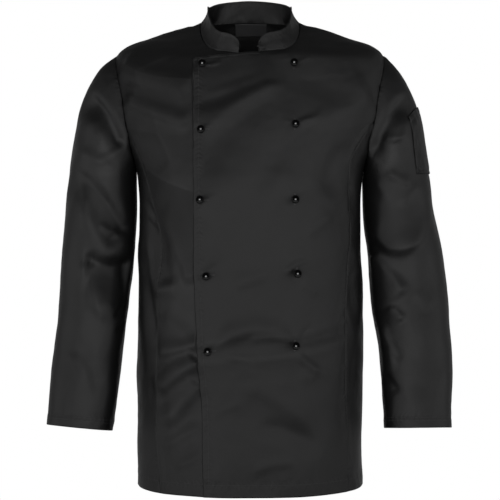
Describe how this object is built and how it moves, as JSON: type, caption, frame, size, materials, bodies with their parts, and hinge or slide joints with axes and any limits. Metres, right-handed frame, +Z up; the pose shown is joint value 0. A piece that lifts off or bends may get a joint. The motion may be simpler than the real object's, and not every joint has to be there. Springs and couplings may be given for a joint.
{
  "type": "chef jacket",
  "caption": "Long-sleeved double-breasted chef jacket with a stand collar, ball stud buttons and a sleeve pocket, filled out as if worn.",
  "frame": {"origin": "on the centre line inside the neck, level with the two points where the shoulder seams meet the collar, which is the height at which a wearer's shoulders carry the jacket", "axes": "+Z is up, the front faces -Y, and +X is the wearer's left"},
  "size_m": [0.6584, 0.2696, 0.8074],
  "materials": {
    "twill": "black cotton-blend twill with a faint sheen",
    "stud": "polished black",
    "label": "dark grey woven tape, plain"
  },
  "bodies": {
    "root": {"front_left": "twill", "front_right": "twill", "side_panel_left": "twill", "side_panel_right": "twill", "back": "twill", "sleeve_left": "twill", "sleeve_right": "twill", "collar": "twill", "sleeve_pocket": "twill", "neck_label": "label", "stud_right_1": "stud", "stud_left_1": "stud", "stud_right_2": "stud", "stud_left_2": "stud", "stud_right_3": "stud", "stud_left_3": "stud", "stud_right_4": "stud", "stud_left_4": "stud", "stud_right_5": "stud", "stud_left_5": "stud"}
  },
  "joints": []
}
